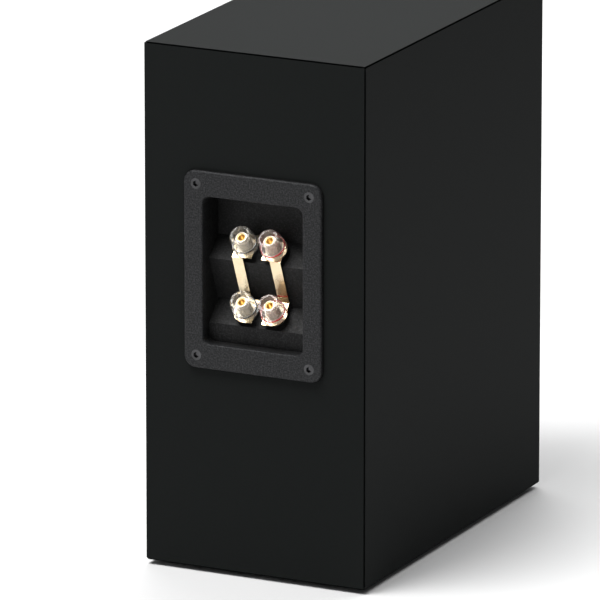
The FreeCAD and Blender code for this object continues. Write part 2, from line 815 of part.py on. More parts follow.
def tweeter_surround():
    middle, outer = DOME_RADIUS + TWEETER_ROLL, tweeter_mouth() + TWEETER_SURROUND_LIP
    inner = DOME_RADIUS - 2 * DOME_INSET
    skin = half_roll(inner, middle, outer, TWEETER_ROLL, DOME_SKIN, TWEETER_SEAT)
    return on_front(skin, TWEETER_Z)


def tweeter_dome():
    dome = shell_dome(DOME_RADIUS - DOME_INSET, TWEETER_FLANGE, DOME_RISE, DOME_SKIN, 0.0)
    return on_front(dome, TWEETER_Z)


def tweeter_voice_coil():
    end = TWEETER_SEAT + TWEETER_PLATE + TWEETER_COIL_OVERHANG
    coil = ring(TWEETER_COIL_RADIUS - TWEETER_COIL_WALL, TWEETER_COIL_RADIUS, TWEETER_SEAT, end)
    return on_front(coil, TWEETER_Z)


def tweeter_top_plate():
    hole, rim = TWEETER_COIL_RADIUS + TWEETER_GAP, TWEETER_MAGNET_RADIUS - TWEETER_PLATE_INSET
    return on_front(ring(hole, rim, TWEETER_SEAT, TWEETER_SEAT + TWEETER_PLATE), TWEETER_Z)


def tweeter_magnet():
    hole, start = DOME_RADIUS + MAGNET_HOLE_GAP, TWEETER_SEAT + TWEETER_PLATE
    return on_front(ring(hole, TWEETER_MAGNET_RADIUS, start, TWEETER_MOTOR_END), TWEETER_Z)


def tweeter_yoke():
    front, seat = TWEETER_SEAT + TWEETER_POLE_SET_BACK, TWEETER_MOTOR_END
    pole = TWEETER_COIL_RADIUS - TWEETER_COIL_WALL - TWEETER_GAP
    plate, end = TWEETER_MAGNET_RADIUS - TWEETER_PLATE_INSET, seat + TWEETER_PLATE
    profile = [
        (0, front),
        (pole, front),
        (pole, seat),
        (plate, seat),
        (plate, end - YOKE_CHAMFER),
        (plate - YOKE_CHAMFER, end),
        (0, end),
    ]
    return on_front(lathe(profile), TWEETER_Z)


def tweeter_screws():
    part = screw(TWEETER_SCREW_HEAD, PANEL - SCREW_SHORT)
    return Part.makeCompound([on_front(placed(part, shift(p)), TWEETER_Z) for p in tweeter_screw_places()])


# Terminal cup


def in_cup(shape):
    """Shape built about the cup's centre on the back panel's face, moved into place."""
    return placed(shape, FreeCAD.Placement(vec(0, BACK, CUP_Z), FreeCAD.Rotation()))


def cup_screws(shape):
    """One copy of a shape built down +Z at each screw of the cup's flange."""
    places = [(sx * CUP_SCREW_X, sz * CUP_SCREW_Z) for sx in (-1, 1) for sz in (-1, 1)]
    return [in_cup(placed(shape, aimed(vec(x, CUP_FRONT, z), vec(0, -1, 0)))) for x, z in places]


def recess_steps():
    """Side view of the recess's air space, from the mouth in over both shelves."""
    top, front, edge = RECESS_HEIGHT / 2, CUP_FRONT + 5, RECESS_BACK + SHELF_RUN
    corners = [(front, top), (RECESS_BACK, top)]
    for shelf in (SHELF_TOP, SHELF_TOP - SHELF_PITCH):
        corners += [(RECESS_BACK, shelf), (edge, shelf - SHELF_RUN)]
    corners += [(edge, -top), (front, -top)]
    points = [vec(0, y, z) for y, z in corners]
    return Part.Face(Part.makePolygon(points + points[:1]))


def across(face, half_width):
    slab = face.copy()
    slab.translate(vec(-half_width, 0, 0))
    return slab.extrude(vec(2 * half_width, 0, 0))


def recess_space():
    """Air inside the recess, with draft on its four walls."""
    shrink = 2 * RECESS_DRAFT
    mouth = rounded_outline(RECESS_WIDTH, RECESS_HEIGHT, RECESS_CORNER, CUP_FRONT)
    corner = RECESS_CORNER - RECESS_DRAFT
    deep = rounded_outline(RECESS_WIDTH - shrink, RECESS_HEIGHT - shrink, corner, RECESS_BACK)
    return Part.makeLoft([deep, mouth], True, True).common(across(recess_steps(), RECESS_WIDTH))


def cup_body():
    seat = GASKET
    flange = rounded_plate(CUP_FLANGE_WIDTH, CUP_FLANGE_HEIGHT, CUP_FLANGE_CORNER, seat, CUP_FRONT)
    flange = flange.makeFillet(CUP_EDGE_ROUND, edges_at(flange, CUP_FRONT, CUP_FLANGE_WIDTH))
    grown = recess_steps().makeOffset2D(CUP_WALL, 2)
    width, height = RECESS_WIDTH + 2 * CUP_WALL, RECESS_HEIGHT + 2 * CUP_WALL
    sleeve = rounded_plate(width, height, RECESS_CORNER + CUP_WALL, RECESS_BACK - CUP_WALL, seat + 0.5)
    cup = flange.fuse(sleeve.common(across(grown, width))).cut(recess_space())
    return cup.makeFillet(RECESS_LIP_ROUND, edges_at(cup, CUP_FRONT, RECESS_WIDTH / 2 + 0.1))


def terminal_cup():
    cup = in_cup(cup_body())
    bores = [in_post(disc(collar_spigot(), -2 * CUP_WALL, 1), name) for name in POSTS]
    return cup.cut(bores + cup_screws(screw_hole(CUP_SCREW_HEAD, CUP_FRONT)))


def terminal_gasket():
    """Foam ring under the flange, showing slightly all round."""
    grow = 2 * GASKET_OVERHANG
    width, height = CUP_FLANGE_WIDTH + grow, CUP_FLANGE_HEIGHT + grow
    sheet = rounded_plate(width, height, CUP_FLANGE_CORNER + GASKET_OVERHANG, 0, GASKET)
    hole = disc(SCREW_SHANK + SCREW_CLEARANCE, 0, CUP_FRONT)
    return in_cup(sheet.cut(cup_opening(0, GASKET))).cut(cup_screws(hole))


def terminal_screws():
    return Part.makeCompound(cup_screws(screw(CUP_SCREW_HEAD, CUP_FRONT + PANEL - SCREW_SHORT)))


# Binding posts and links


def post_foot(name):
    """Where a post's axis meets its shelf."""
    side, level = POSTS[name]
    y = BACK + RECESS_BACK + SHELF_RUN / 2
    z = CUP_Z + SHELF_TOP - SHELF_RUN / 2 - level * SHELF_PITCH
    return vec(side * POST_SPACING / 2, y, z)


def in_post(shape, name):
    """Shape built along +Z from the shelf, moved onto a post's axis."""
    return placed(shape, aimed(post_foot(name), vec(0, 1, 1)))


def collar_spigot():
    return THREAD_RADIUS + SPIGOT_WALL


def post_collars():
    spigot = collar_spigot()
    profile = [
        (THREAD_RADIUS, -CUP_WALL),
        (spigot, -CUP_WALL),
        (spigot, 0.0),
        (COLLAR_RADIUS, 0.0),
        (COLLAR_RADIUS, COLLAR_STEP_LOW),
        (COLLAR_RADIUS - COLLAR_STEP, COLLAR_STEP_HIGH),
        (COLLAR_RADIUS - COLLAR_STEP, COLLAR_HEIGHT),
        (THREAD_RADIUS, COLLAR_HEIGHT),
    ]
    return Part.makeCompound([in_post(lathe(profile), name) for name in POSTS])


def post_shafts():
    """Threaded brass shafts with a shoulder on the collar and a plug socket in the end."""
    end, low = shaft_end(), -CUP_WALL - LUG_THICKNESS - NUT_HEIGHT - SHAFT_TAIL
    shoulder, shoulder_radius = COLLAR_HEIGHT + SHOULDER, COLLAR_RADIUS - SHOULDER_INSET
    profile = [
        (0, low),
        (THREAD_RADIUS - SHAFT_CHAMFER, low),
        (THREAD_RADIUS, low + SHAFT_CHAMFER),
        (THREAD_RADIUS, COLLAR_HEIGHT),
        (shoulder_radius, COLLAR_HEIGHT),
        (shoulder_radius, shoulder),
        (THREAD_RADIUS, shoulder),
        (THREAD_RADIUS, end),
        (SOCKET_RADIUS, end),
        (SOCKET_RADIUS, end - SOCKET_DEPTH),
        (0, end - SOCKET_DEPTH),
    ]
    return Part.makeCompound([in_post(lathe(profile), name) for name in POSTS])


def shaft_end():
    return CAP_TOP - INSERT_SUNK - SHAFT_SUNK


def solder_lugs():
    """Ring tags behind the shelf, their tabs turned away from the cup's middle."""
    high = -CUP_WALL
    low = high - LUG_THICKNESS
    lugs = []
    for name, (side, _) in POSTS.items():
        reach = sorted((0, side * LUG_REACH))
        tab = disc(NUT_FLATS / 2, low, high).fuse(block(reach, (-LUG_WIDTH / 2, LUG_WIDTH / 2), (low, high)))
        lugs.append(in_post(tab.cut(disc(THREAD_RADIUS, low, high)), name))
    return Part.makeCompound(lugs)


def post_nuts():
    high = -CUP_WALL - LUG_THICKNESS
    hexagon = Part.Face(polygon_wire(6, NUT_FLATS, high - NUT_HEIGHT)).extrude(vec(0, 0, NUT_HEIGHT))
    nut = hexagon.cut(disc(THREAD_RADIUS, high - NUT_HEIGHT, high))
    return Part.makeCompound([in_post(nut, name) for name in POSTS])


def post_ring(name):
    """Coloured band that sits in the cap's groove."""
    inner, low, high = RING_RADIUS - RING_GRIP, RING_BASE, RING_BASE + RING_HEIGHT
    profile = [
        (inner, low),
        (RING_RADIUS - CAP_EDGE, low),
        (RING_RADIUS, low + CAP_EDGE),
        (RING_RADIUS, high - CAP_EDGE),
        (RING_RADIUS - CAP_EDGE, high),
        (inner, high),
    ]
    return in_post(lathe(profile), name)


def insert_body():
    """Brass insert as a full bar: foot flange, many-sided body, round nose."""
    foot = disc(INSERT_RADIUS + INSERT_FOOT, CAP_BASE, CAP_BASE + INSERT_FOOT)
    shoulder = CAP_TOP - WELL_DEPTH
    side = Part.Face(polygon_wire(INSERT_SIDES, 2 * INSERT_RADIUS, CAP_BASE))
    body = side.extrude(vec(0, 0, shoulder - CAP_BASE))
    return foot.fuse([body, disc(INSERT_NOSE, shoulder, CAP_TOP - INSERT_SUNK)])


def post_insert(name):
    bore = disc(THREAD_RADIUS + THREAD_CLEARANCE, CAP_BASE, CAP_TOP)
    return as_tightened(insert_body().cut(bore), name)


def cap_outside():
    """Round skirt below, flat facets that narrow towards the tip."""
    start = RING_BASE + RING_HEIGHT + PLAY
    slope = (CAP_RADIUS - CAP_TIP_FLATS / 2) / (CAP_TOP - start - CAP_SKIRT)
    wide = CAP_TIP_FLATS + 2 * slope * (CAP_TOP - start)
    ends = [polygon_wire(CAP_FACETS, wide, start), polygon_wire(CAP_FACETS, CAP_TIP_FLATS, CAP_TOP)]
    tip = CAP_TIP_FLATS / 2 - CAP_EDGE / 2
    corner = CAP_TOP - CAP_RADIUS + tip
    skirt = lathe([
        (0, start),
        (CAP_RADIUS - CAP_EDGE, start),
        (CAP_RADIUS, start + CAP_EDGE),
        (CAP_RADIUS, corner),
        (tip, CAP_TOP),
        (0, CAP_TOP),
    ])
    return skirt.common(Part.makeLoft(ends, True, True))


def cap_flange():
    """Flange under the coloured band, notched all round for grip."""
    high, edge, chamfer = CAP_BASE + CAP_FLANGE, CAP_FLANGE_RADIUS, CAP_FLANGE_CHAMFER
    body = lathe([
        (0, CAP_BASE),
        (edge - chamfer, CAP_BASE),
        (edge, CAP_BASE + chamfer),
        (edge, high - chamfer),
        (edge - chamfer, high),
        (0, high),
    ])
    notch = disc(CAP_NOTCH_RADIUS, CAP_BASE, high, (edge + CAP_NOTCH_OUTSET, 0))
    return body.cut(around(notch, CAP_FLANGE_NOTCHES, 0))


def post_cap(name):
    """Clear cap moulded round its insert, with a groove for the band and a well at the tip."""
    groove = RING_RADIUS - RING_GRIP - THREAD_CLEARANCE
    neck = disc(groove, CAP_BASE, RING_BASE + RING_HEIGHT + CAP_SKIRT)
    well = disc(WELL_RADIUS, CAP_TOP - WELL_DEPTH, CAP_TOP)
    solid = cap_outside().fuse([cap_flange(), neck])
    return as_tightened(solid.cut([insert_body(), well]), name)


def as_tightened(shape, name):
    """Cap or insert turned to the angle it stands at when tight, on its post."""
    turn = FreeCAD.Rotation(vec(0, 0, 1), CAP_TURN[name.split("_")[1]])
    return in_post(placed(shape, FreeCAD.Placement(vec(0, 0, 0), turn)), name)


def link_plate(side):
    """Forked plate around one post, its slot open towards the cup's middle."""
    low, high = LINK_HEIGHT, LINK_HEIGHT + LINK_THICKNESS
    slot = THREAD_RADIUS + LINK_SLOT_CLEARANCE
    tail = sorted((0, -side * LINK_TAIL))
    mouth = sorted((0, -side * LINK_RADIUS))
    beyond = sorted((-side * LINK_TAIL, -side * 2 * LINK_RADIUS))
    wide = (-LINK_RADIUS, LINK_RADIUS)
    plate = disc(LINK_RADIUS, low, high).fuse(block(tail, wide, (low, high)))
    cutters = [block(mouth, (-slot, slot), (low, high)), block(beyond, wide, (low, high))]
    return plate.cut([disc(slot, low, high)] + cutters)


def slope_point(name, along, height):
    """Point in a post's side view, along its shelf's slope (down is positive) and above the shelf."""
    return aimed(post_foot(name), vec(0, 1, 1)).multVec(vec(0, along, height))


def jumper_link(colour):
    """Bent strip from the upper post's plate to the lower post's plate."""
    upper, lower = "upper_" + colour, "lower_" + colour
    side = POSTS[upper][0]
    low, high = LINK_HEIGHT, LINK_HEIGHT + LINK_THICKNESS
    plates = [in_post(link_plate(side), name) for name in (upper, lower)]
    root = THREAD_RADIUS + SPIGOT_WALL
    spots = [(upper, root), (upper, LINK_UPPER_BEND), (lower, -LINK_LOWER_BEND), (lower, -root)]
    outline = [slope_point(name, along, high) for name, along in spots]
    outline += [slope_point(name, along, low) for name, along in reversed(spots)]
    x = side * (POST_SPACING / 2 + LINK_STRIP_OFFSET) - LINK_STRIP_WIDTH / 2
    strip = Part.Face(Part.makePolygon([vec(x, p.y, p.z) for p in outline + outline[:1]]))
    strip = strip.extrude(vec(LINK_STRIP_WIDTH, 0, 0))
    return plates[0].fuse([plates[1], strip]).removeSplitter()


# Crossover and leads


def on_board(shape, x, y):
    return placed(shape, shift((x, BOARD_MIDDLE + y), BOARD_TOP))


def crossover_board():
    y = (BOARD_FRONT, BOARD_FRONT + BOARD_LENGTH)
    return block((-BOARD_WIDTH / 2, BOARD_WIDTH / 2), y, (BOARD_TOP - BOARD_THICKNESS, BOARD_TOP))


def crossover_standoffs():
    x, y = BOARD_WIDTH / 2 - STANDOFF_INSET, BOARD_LENGTH / 2 - STANDOFF_INSET
    post = disc(STANDOFF_RADIUS, FLOOR, FLOOR + STANDOFF_HEIGHT)
    places = [(sx * x, BOARD_MIDDLE + sy * y) for sx in (-1, 1) for sy in (-1, 1)]
    return Part.makeCompound([placed(post, shift(place)) for place in places])


def crossover_coils():
    """Two air-core coils, set at right angles to each other."""
    half = SMALL_COIL_HEIGHT / 2
    flat = ring(COIL_BORE, LARGE_COIL_RADIUS, 0, LARGE_COIL_HEIGHT)
    upright = ring(COIL_BORE - 1, SMALL_COIL_RADIUS, -half, half)
    upright = placed(upright, aimed(vec(0, 0, SMALL_COIL_RADIUS), vec(1, 0, 0)))
    upright = on_board(upright, SMALL_COIL_X, COIL_ROW)
    return Part.makeCompound([on_board(flat, LARGE_COIL_X, COIL_ROW), upright])


def lying_can(radius, length, direction):
    """Cylinder lying on the board."""
    return placed(disc(radius, -length / 2, length / 2), aimed(vec(0, 0, radius), direction))


def crossover_capacitors():
    large = lying_can(LARGE_CAPACITOR_RADIUS, LARGE_CAPACITOR_LENGTH, vec(0, 1, 0))
    small = lying_can(SMALL_CAPACITOR_RADIUS, SMALL_CAPACITOR_LENGTH, vec(1, 0, 0))
    small = on_board(small, SMALL_CAPACITOR_X, SMALL_CAPACITOR_Y)
    return Part.makeCompound([on_board(large, 0, COIL_ROW), small])


def crossover_resistors():
    x, y = RESISTOR_LENGTH / 2, RESISTOR_SIDE / 2
    body = block((-x, x), (-y, y), (0, RESISTOR_SIDE))
    return Part.makeCompound([on_board(body, RESISTOR_X, row) for row in RESISTOR_ROWS])


def input_leads():
    """Four leads from the solder lugs down to the board's back edge."""
    leads = []
    for name, (side, level) in POSTS.items():
        start = in_post_point(name, side * (LUG_REACH - LEAD_FROM_TAB_END), -CUP_WALL - LUG_THICKNESS)
        run = LOWER_LEAD_RUN if level else UPPER_LEAD_RUN
        corner = start - vec(0, 1, 1).normalize() * run
        leads.append(lead([start, corner, vec(corner.x, corner.y, BOARD_TOP)]))
    return Part.makeCompound(leads)


def in_post_point(name, across_x, height):
    return aimed(post_foot(name), vec(0, 1, 1)).multVec(vec(across_x, 0, height))


def driver_leads(x, y, z, end):
    """Pair of leads from the board up and forward to a driver's terminals."""
    pair = []
    for side in (-1, 1):
        route = [vec(side * x, y, BOARD_TOP), vec(side * x, y, z), vec(side * x, end, z)]
        pair.append(lead(route))
    return Part.makeCompound(pair)


def woofer_leads():
    height = WOOFER_Z - MAGNET_RADIUS - WOOFER_LEAD_DROP
    end = FRONT + BASKET_DEPTH - BASKET_FOOT
    return driver_leads(WOOFER_LEAD_X, BOARD_FRONT + WOOFER_LEAD_BOARD_GAP, height, end)


def tweeter_leads():
    height = TWEETER_Z - TWEETER_MAGNET_RADIUS - TWEETER_LEAD_DROP
    end = FRONT + TWEETER_FLANGE + TAG_LENGTH
    return driver_leads(TAG_SPACING, BOARD_FRONT + TWEETER_LEAD_BOARD_GAP, height, end)


def assembly():
    parts = {
        "panel_top": flat_panel(TOP, vec(0, 0, -1)),
        "panel_bottom": flat_panel(BASE, vec(0, 0, 1)),
        "panel_left": side_panel(-1),
        "panel_right": side_panel(1),
        "front_baffle": front_baffle(),
        "back_panel": back_panel(),
        "window_brace": window_brace(),
        "rubber_feet": rubber_feet(),
        "grille_sockets": grille_sockets(),
        "port_tube": port_tube(),
        "damping_wadding": damping_wadding(),
        "woofer_basket": woofer_basket(),
        "woofer_gasket": woofer_gasket(),
        "woofer_surround": woofer_surround(),
        "woofer_cone": woofer_cone(),
        "woofer_dust_cap": woofer_dust_cap(),
        "woofer_spider": woofer_spider(),
        "woofer_voice_coil": woofer_voice_coil(),
        "woofer_top_plate": woofer_top_plate(),
        "woofer_magnet": woofer_magnet(),
        "woofer_yoke": woofer_yoke(),
        "woofer_screws": woofer_screws(),
        "tweeter_faceplate": tweeter_faceplate(),
        "tweeter_surround": tweeter_surround(),
        "tweeter_dome": tweeter_dome(),
        "tweeter_voice_coil": tweeter_voice_coil(),
        "tweeter_top_plate": tweeter_top_plate(),
        "tweeter_magnet": tweeter_magnet(),
        "tweeter_yoke": tweeter_yoke(),
        "tweeter_screws": tweeter_screws(),
        "terminal_cup": terminal_cup(),
        "terminal_gasket": terminal_gasket(),
        "terminal_screws": terminal_screws(),
        "post_shafts": post_shafts(),
        "post_collars": post_collars(),
        "post_nuts": post_nuts(),
        "solder_lugs": solder_lugs(),
        "crossover_board": crossover_board(),
        "crossover_standoffs": crossover_standoffs(),
        "crossover_coils": crossover_coils(),
        "crossover_capacitors": crossover_capacitors(),
        "crossover_resistors": crossover_resistors(),
        "input_leads": input_leads(),
        "woofer_leads": woofer_leads(),
        "tweeter_leads": tweeter_leads(),
    }
    for name in POSTS:
        parts["post_ring_" + name] = post_ring(name)
        parts["post_cap_" + name] = post_cap(name)
        parts["post_insert_" + name] = post_insert(name)
    for colour in ("black", "red"):
        parts["jumper_link_" + colour] = jumper_link(colour)
    return parts


def main():
    os.makedirs("parts", exist_ok=True)
    for name, shape in assembly().items():
        shape.exportStep("parts/" + name + ".step")


main()
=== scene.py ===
import json
import math

import bmesh
import bpy
from mathutils import Matrix, Vector, noise


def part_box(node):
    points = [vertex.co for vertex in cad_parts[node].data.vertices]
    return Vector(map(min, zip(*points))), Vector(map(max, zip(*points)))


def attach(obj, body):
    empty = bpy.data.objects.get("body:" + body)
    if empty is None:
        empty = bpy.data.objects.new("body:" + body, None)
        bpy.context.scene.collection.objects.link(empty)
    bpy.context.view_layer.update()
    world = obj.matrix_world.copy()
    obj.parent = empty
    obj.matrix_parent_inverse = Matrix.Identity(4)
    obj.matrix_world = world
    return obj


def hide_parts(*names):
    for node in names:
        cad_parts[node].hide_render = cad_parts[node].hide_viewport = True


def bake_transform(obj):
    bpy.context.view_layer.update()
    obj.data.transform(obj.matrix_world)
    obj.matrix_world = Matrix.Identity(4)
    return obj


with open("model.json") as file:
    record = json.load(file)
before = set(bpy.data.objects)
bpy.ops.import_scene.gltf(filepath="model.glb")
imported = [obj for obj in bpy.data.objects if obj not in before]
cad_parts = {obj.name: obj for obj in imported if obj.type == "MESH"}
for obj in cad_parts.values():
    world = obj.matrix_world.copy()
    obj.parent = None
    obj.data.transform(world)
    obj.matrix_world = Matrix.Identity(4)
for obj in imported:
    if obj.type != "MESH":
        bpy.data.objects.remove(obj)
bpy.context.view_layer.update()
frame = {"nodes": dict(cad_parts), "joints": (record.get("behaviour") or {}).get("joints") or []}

MM = 0.001
NODES = frame["nodes"]
JOINTS = {joint["name"]: joint for joint in frame["joints"]}
POSTS = ("upper_black", "upper_red", "lower_black", "lower_red")
FINE_EDGE = 0.15 * MM

# Posts lean back by 45 degrees: turns +Z into their axis.
POST_LEAN = Vector((0, 0, 1)).rotation_difference(Vector((0, 1, 1))).to_matrix()

# Camera

CAMERA_TURN = math.radians(26.0)
CAMERA_TILT = math.radians(15.46)
CAMERA_DISTANCE = 5.5
CAMERA_LENS = 541.0
AIM_RIGHT = 27.9 * MM
AIM_DOWN = 14.9 * MM
SENSOR_WIDTH = 36.0
CLIP_END = 50.0
FLOOR_SIZE = 6.0

# Threaded shafts, measured along a post from its foot
THREAD_MAJOR = 3.0 * MM
THREAD_DEPTH = 0.38 * MM
THREAD_PITCH = 1.0 * MM
SHAFT_LOW = -10.8 * MM
SHOULDER_LOW = 3.0 * MM
SHOULDER_HIGH = 3.7 * MM
SHOULDER_RADIUS = 4.8 * MM
SHAFT_HIGH = 14.8 * MM
SOCKET_RADIUS = 2.0 * MM
SOCKET_END = 0.8 * MM

# Inserts in the caps, measured the same way
INSERT_LOW = 4.75 * MM
INSERT_FOOT = 1.2 * MM
INSERT_SHOULDER = 12.5 * MM
INSERT_HIGH = 15.0 * MM
INSERT_BORE = 3.05 * MM
INSERT_NOSE = 3.6 * MM
INSERT_RADIUS = 4.4 * MM
INSERT_PANELS = 12
INSERT_GROOVE = 0.55 * MM

# Spider's folds, by radius
SPIDER_FIRST = 15.0 * MM
SPIDER_LAST = 34.5 * MM
SPIDER_FOLDS = 10
SPIDER_STEPS = 10
SPIDER_SKIN = 0.4 * MM
SPIDER_SWING = 1.2 * MM

# Wadding pads
PAD_THICKNESS = 12 * MM
PAD_ACROSS = 26
PAD_UP = 36
PAD_LEAST = 0.12


# ---------------------------------------------------------------- view


def middle(node):
    low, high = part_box(node)
    return (low + high) / 2


def make_camera():
    """Camera behind the cabinet, turned towards its left side and looking slightly down."""
    turn, tilt = CAMERA_TURN, CAMERA_TILT
    cup = middle("terminal_cup")
    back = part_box("back_panel")[1].y
    right = Vector((-math.cos(turn), -math.sin(turn), 0))
    up = Vector((math.sin(turn) * math.sin(tilt), -math.cos(turn) * math.sin(tilt), math.cos(tilt)))
    away = Vector((-math.sin(turn) * math.cos(tilt), math.cos(turn) * math.cos(tilt), math.sin(tilt)))
    target = Vector((0, back, cup.z)) + right * AIM_RIGHT - up * AIM_DOWN
    data = bpy.data.cameras.new("camera")
    data.lens = CAMERA_LENS
    data.sensor_width = SENSOR_WIDTH
    data.clip_end = CLIP_END
    camera = bpy.data.objects.new("camera", data)
    bpy.context.scene.collection.objects.link(camera)
    axes = Matrix((right, up, away)).transposed()
    camera.matrix_world = Matrix.Translation(target + away * CAMERA_DISTANCE) @ axes.to_4x4()
    bpy.context.scene.camera = camera


def soft_light(name, place, target, size, power, color=(1.0, 1.0, 1.0)):
    data = bpy.data.lights.new(name, "AREA")
    data.shape = "RECTANGLE"
    data.size, data.size_y = size
    data.energy = power
    data.color = color
    lamp = bpy.data.objects.new(name, data)
    bpy.context.scene.collection.objects.link(lamp)
    aim = Vector(target) - Vector(place)
    lamp.matrix_world = Matrix.Translation(Vector(place)) @ aim.to_track_quat("-Z", "Y").to_matrix().to_4x4()


def make_studio():
    """Dim pale sky, with soft lamps overhead, over the floor, at the left and in front."""
    world = bpy.data.worlds.new("studio")
    world.use_nodes = True
    sky = world.node_tree.nodes["Background"]
    sky.inputs["Color"].default_value = (0.97, 0.98, 1.0, 1.0)
    sky.inputs["Strength"].default_value = 0.11
    bpy.context.scene.world = world
    bpy.context.scene.view_settings.view_transform = "Standard"
    soft_light("overhead", (0.48, 0.85, 2.3), (0, 0.15, 0.15), (1.2, 1.2), 62)
    soft_light("floor_wash", (0, -1.6, 2.6), (0, -1.2, 0), (3.4, 2.0), 70)
    soft_light("left_fill", (1.5, 2.3, 1.2), (0, 0, 0.15), (0.9, 1.3), 4)
    soft_light("front_fill", (0.8, -2.4, 1.2), (0, 0, 0.15), (1.6, 1.2), 9)


def make_floor():
    size = FLOOR_SIZE
    mesh = bpy.data.meshes.new("floor")
    corners = [(-size, -size, 0), (size, -size, 0), (size, size, 0), (-size, size, 0)]
    mesh.from_pydata(corners, [], [(0, 1, 2, 3)])
    floor = bpy.data.objects.new("floor", mesh)
    bpy.context.scene.collection.objects.link(floor)
    paper = Finish("studio_paper", Roughness=0.9)
    paper.color(paper.noise(1.5, 2), (0.86, 0.86, 0.86), (0.89, 0.89, 0.89))
    floor.data.materials.append(paper.material)


# ---------------------------------------------------------------- finishes


class Finish:
    """Procedural material whose patterns are laid out in metres in the object's frame."""

    def __init__(self, name, **values):
        self.material = bpy.data.materials.new(name)
        self.material.use_nodes = True
        self.tree = self.material.node_tree
        self.shader = self.tree.nodes["Principled BSDF"]
        self.coords = self.add("ShaderNodeTexCoord").outputs["Object"]
        self.normal = None
        for socket, value in values.items():
            self.shader.inputs[socket.replace("_", " ")].default_value = value

    def add(self, kind, **inputs):
        node = self.tree.nodes.new(kind)
        for socket, value in inputs.items():
            self.feed(node.inputs[socket.replace("_", " ")], value)
        return node

    def feed(self, socket, value):
        if isinstance(value, bpy.types.NodeSocket):
            self.tree.links.new(value, socket)
        else:
            socket.default_value = value

    def stretched(self, stretch):
        if stretch == (1, 1, 1):
            return self.coords
        return self.add("ShaderNodeMapping", Vector=self.coords, Scale=stretch).outputs["Vector"]

    def noise(self, per_metre, detail=3.0, stretch=(1, 1, 1), rough=0.55):
        node = self.add("ShaderNodeTexNoise", Vector=self.stretched(stretch), Scale=per_metre, Detail=detail)
        node.inputs["Roughness"].default_value = rough
        return node.outputs["Fac"]

    def cells(self, per_metre, stretch=(1, 1, 1)):
        node = self.add("ShaderNodeTexVoronoi", Vector=self.stretched(stretch), Scale=per_metre)
        return node.outputs["Distance"]

    def bands(self, per_metre, axis, distortion=0.0):
        node = self.add("ShaderNodeTexWave", Vector=self.coords, Scale=per_metre, Distortion=distortion)
        node.bands_direction = axis
        return node.outputs["Fac"]

    def level(self, value, low, high, start=0.3, end=0.7):
        """Value spread from low to high between two of its own levels."""
        node = self.add("ShaderNodeMapRange", Value=value)
        node.inputs["From Min"].default_value = start
        node.inputs["From Max"].default_value = end
        node.inputs["To Min"].default_value = low
        node.inputs["To Max"].default_value = high
        return node.outputs["Result"]

    def math(self, operation, first, second):
        node = self.tree.nodes.new("ShaderNodeMath")
        node.operation = operation
        self.feed(node.inputs[0], first)
        self.feed(node.inputs[1], second)
        return node.outputs["Value"]

    def mix(self, value, first, second, start=0.3, end=0.7):
        """Colour between two others by a pattern's value."""
        node = self.tree.nodes.new("ShaderNodeMix")
        node.data_type = "RGBA"
        self.feed(node.inputs["Factor"], self.level(value, 0.0, 1.0, start, end))
        for socket, color in (("A", first), ("B", second)):
            slots = [s for s in node.inputs if s.name == socket and s.type == "RGBA"]
            self.feed(slots[0], color if isinstance(color, bpy.types.NodeSocket) else (*color, 1.0))
        return [s for s in node.outputs if s.type == "RGBA"][0]

    def color(self, value, first, second, start=0.3, end=0.7):
        self.feed(self.shader.inputs["Base Color"], self.mix(value, first, second, start, end))
        return self

    def roughness(self, value, low, high, start=0.3, end=0.7):
        self.feed(self.shader.inputs["Roughness"], self.level(value, low, high, start, end))
        return self

    def bump(self, value, depth, strength=1.0):
        """Relief of a given depth in metres, added to any relief already there."""
        node = self.add("ShaderNodeBump", Height=value, Strength=strength, Distance=depth)
        if self.normal is not None:
            self.feed(node.inputs["Normal"], self.normal)
        self.normal = node.outputs["Normal"]
        self.feed(self.shader.inputs["Normal"], self.normal)
        return self


def moulded(name, dark, light, rough, grain, depth, **values):
    """Plastic with a fine spark-eroded texture: grain marks per metre and their depth."""
    made = Finish(name, **values)
    speck = made.noise(grain, 2.0)
    made.color(speck, dark, light)
    made.roughness(made.noise(grain * 0.31, 2.0), rough - 0.06, rough + 0.08)
    made.bump(speck, depth)
    made.bump(made.cells(grain * 0.6), depth * 0.5, 0.6)
    return made.material


def metal(name, color, worn, rough, stretch=(1, 1, 1), **values):
    """Metal with faint drawing marks, slight tarnish and uneven gloss."""
    made = Finish(name, **{"Metallic": 1.0, **values})
    marks = made.noise(3200.0, 4.0, stretch)
    made.color(made.noise(160.0, 3.0), color, worn, 0.35, 0.75)
    made.roughness(marks, rough * 0.7, rough * 1.35)
    made.bump(marks, 0.004 * MM, 0.5)
    return made.material


def cup_finish():
    """Textured plastic: coarse pale grain on the flange, with painted shade inside the cup below its rim."""
    made = Finish("cup_abs", Specular_IOR_Level=0.22)
    grain = made.noise(1000.0, 2.0)
    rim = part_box("terminal_cup")[1].y
    outward = made.add("ShaderNodeSeparateXYZ", Vector=made.coords).outputs["Y"]
    flange = made.mix(grain, (0.0100, 0.0104, 0.0112), (0.0500, 0.0510, 0.0540), 0.42, 0.78)
    # Painted shade: a darker copy of the grain inside the cup stands in for the shade there; it fades to the
    # flange's colour over the last 6 mm below the rim.
    recess_painted_shade = made.mix(grain, (0.0050, 0.0051, 0.0052), (0.0300, 0.0300, 0.0305), 0.45, 0.85)
    made.color(outward, recess_painted_shade, flange, rim - 6 * MM, rim - 1 * MM)
    made.roughness(made.noise(310.0, 2.0), 0.46, 0.60)
    made.bump(grain, 0.16 * MM)
    made.bump(made.cells(600.0), 0.08 * MM, 0.6)
    return made.material


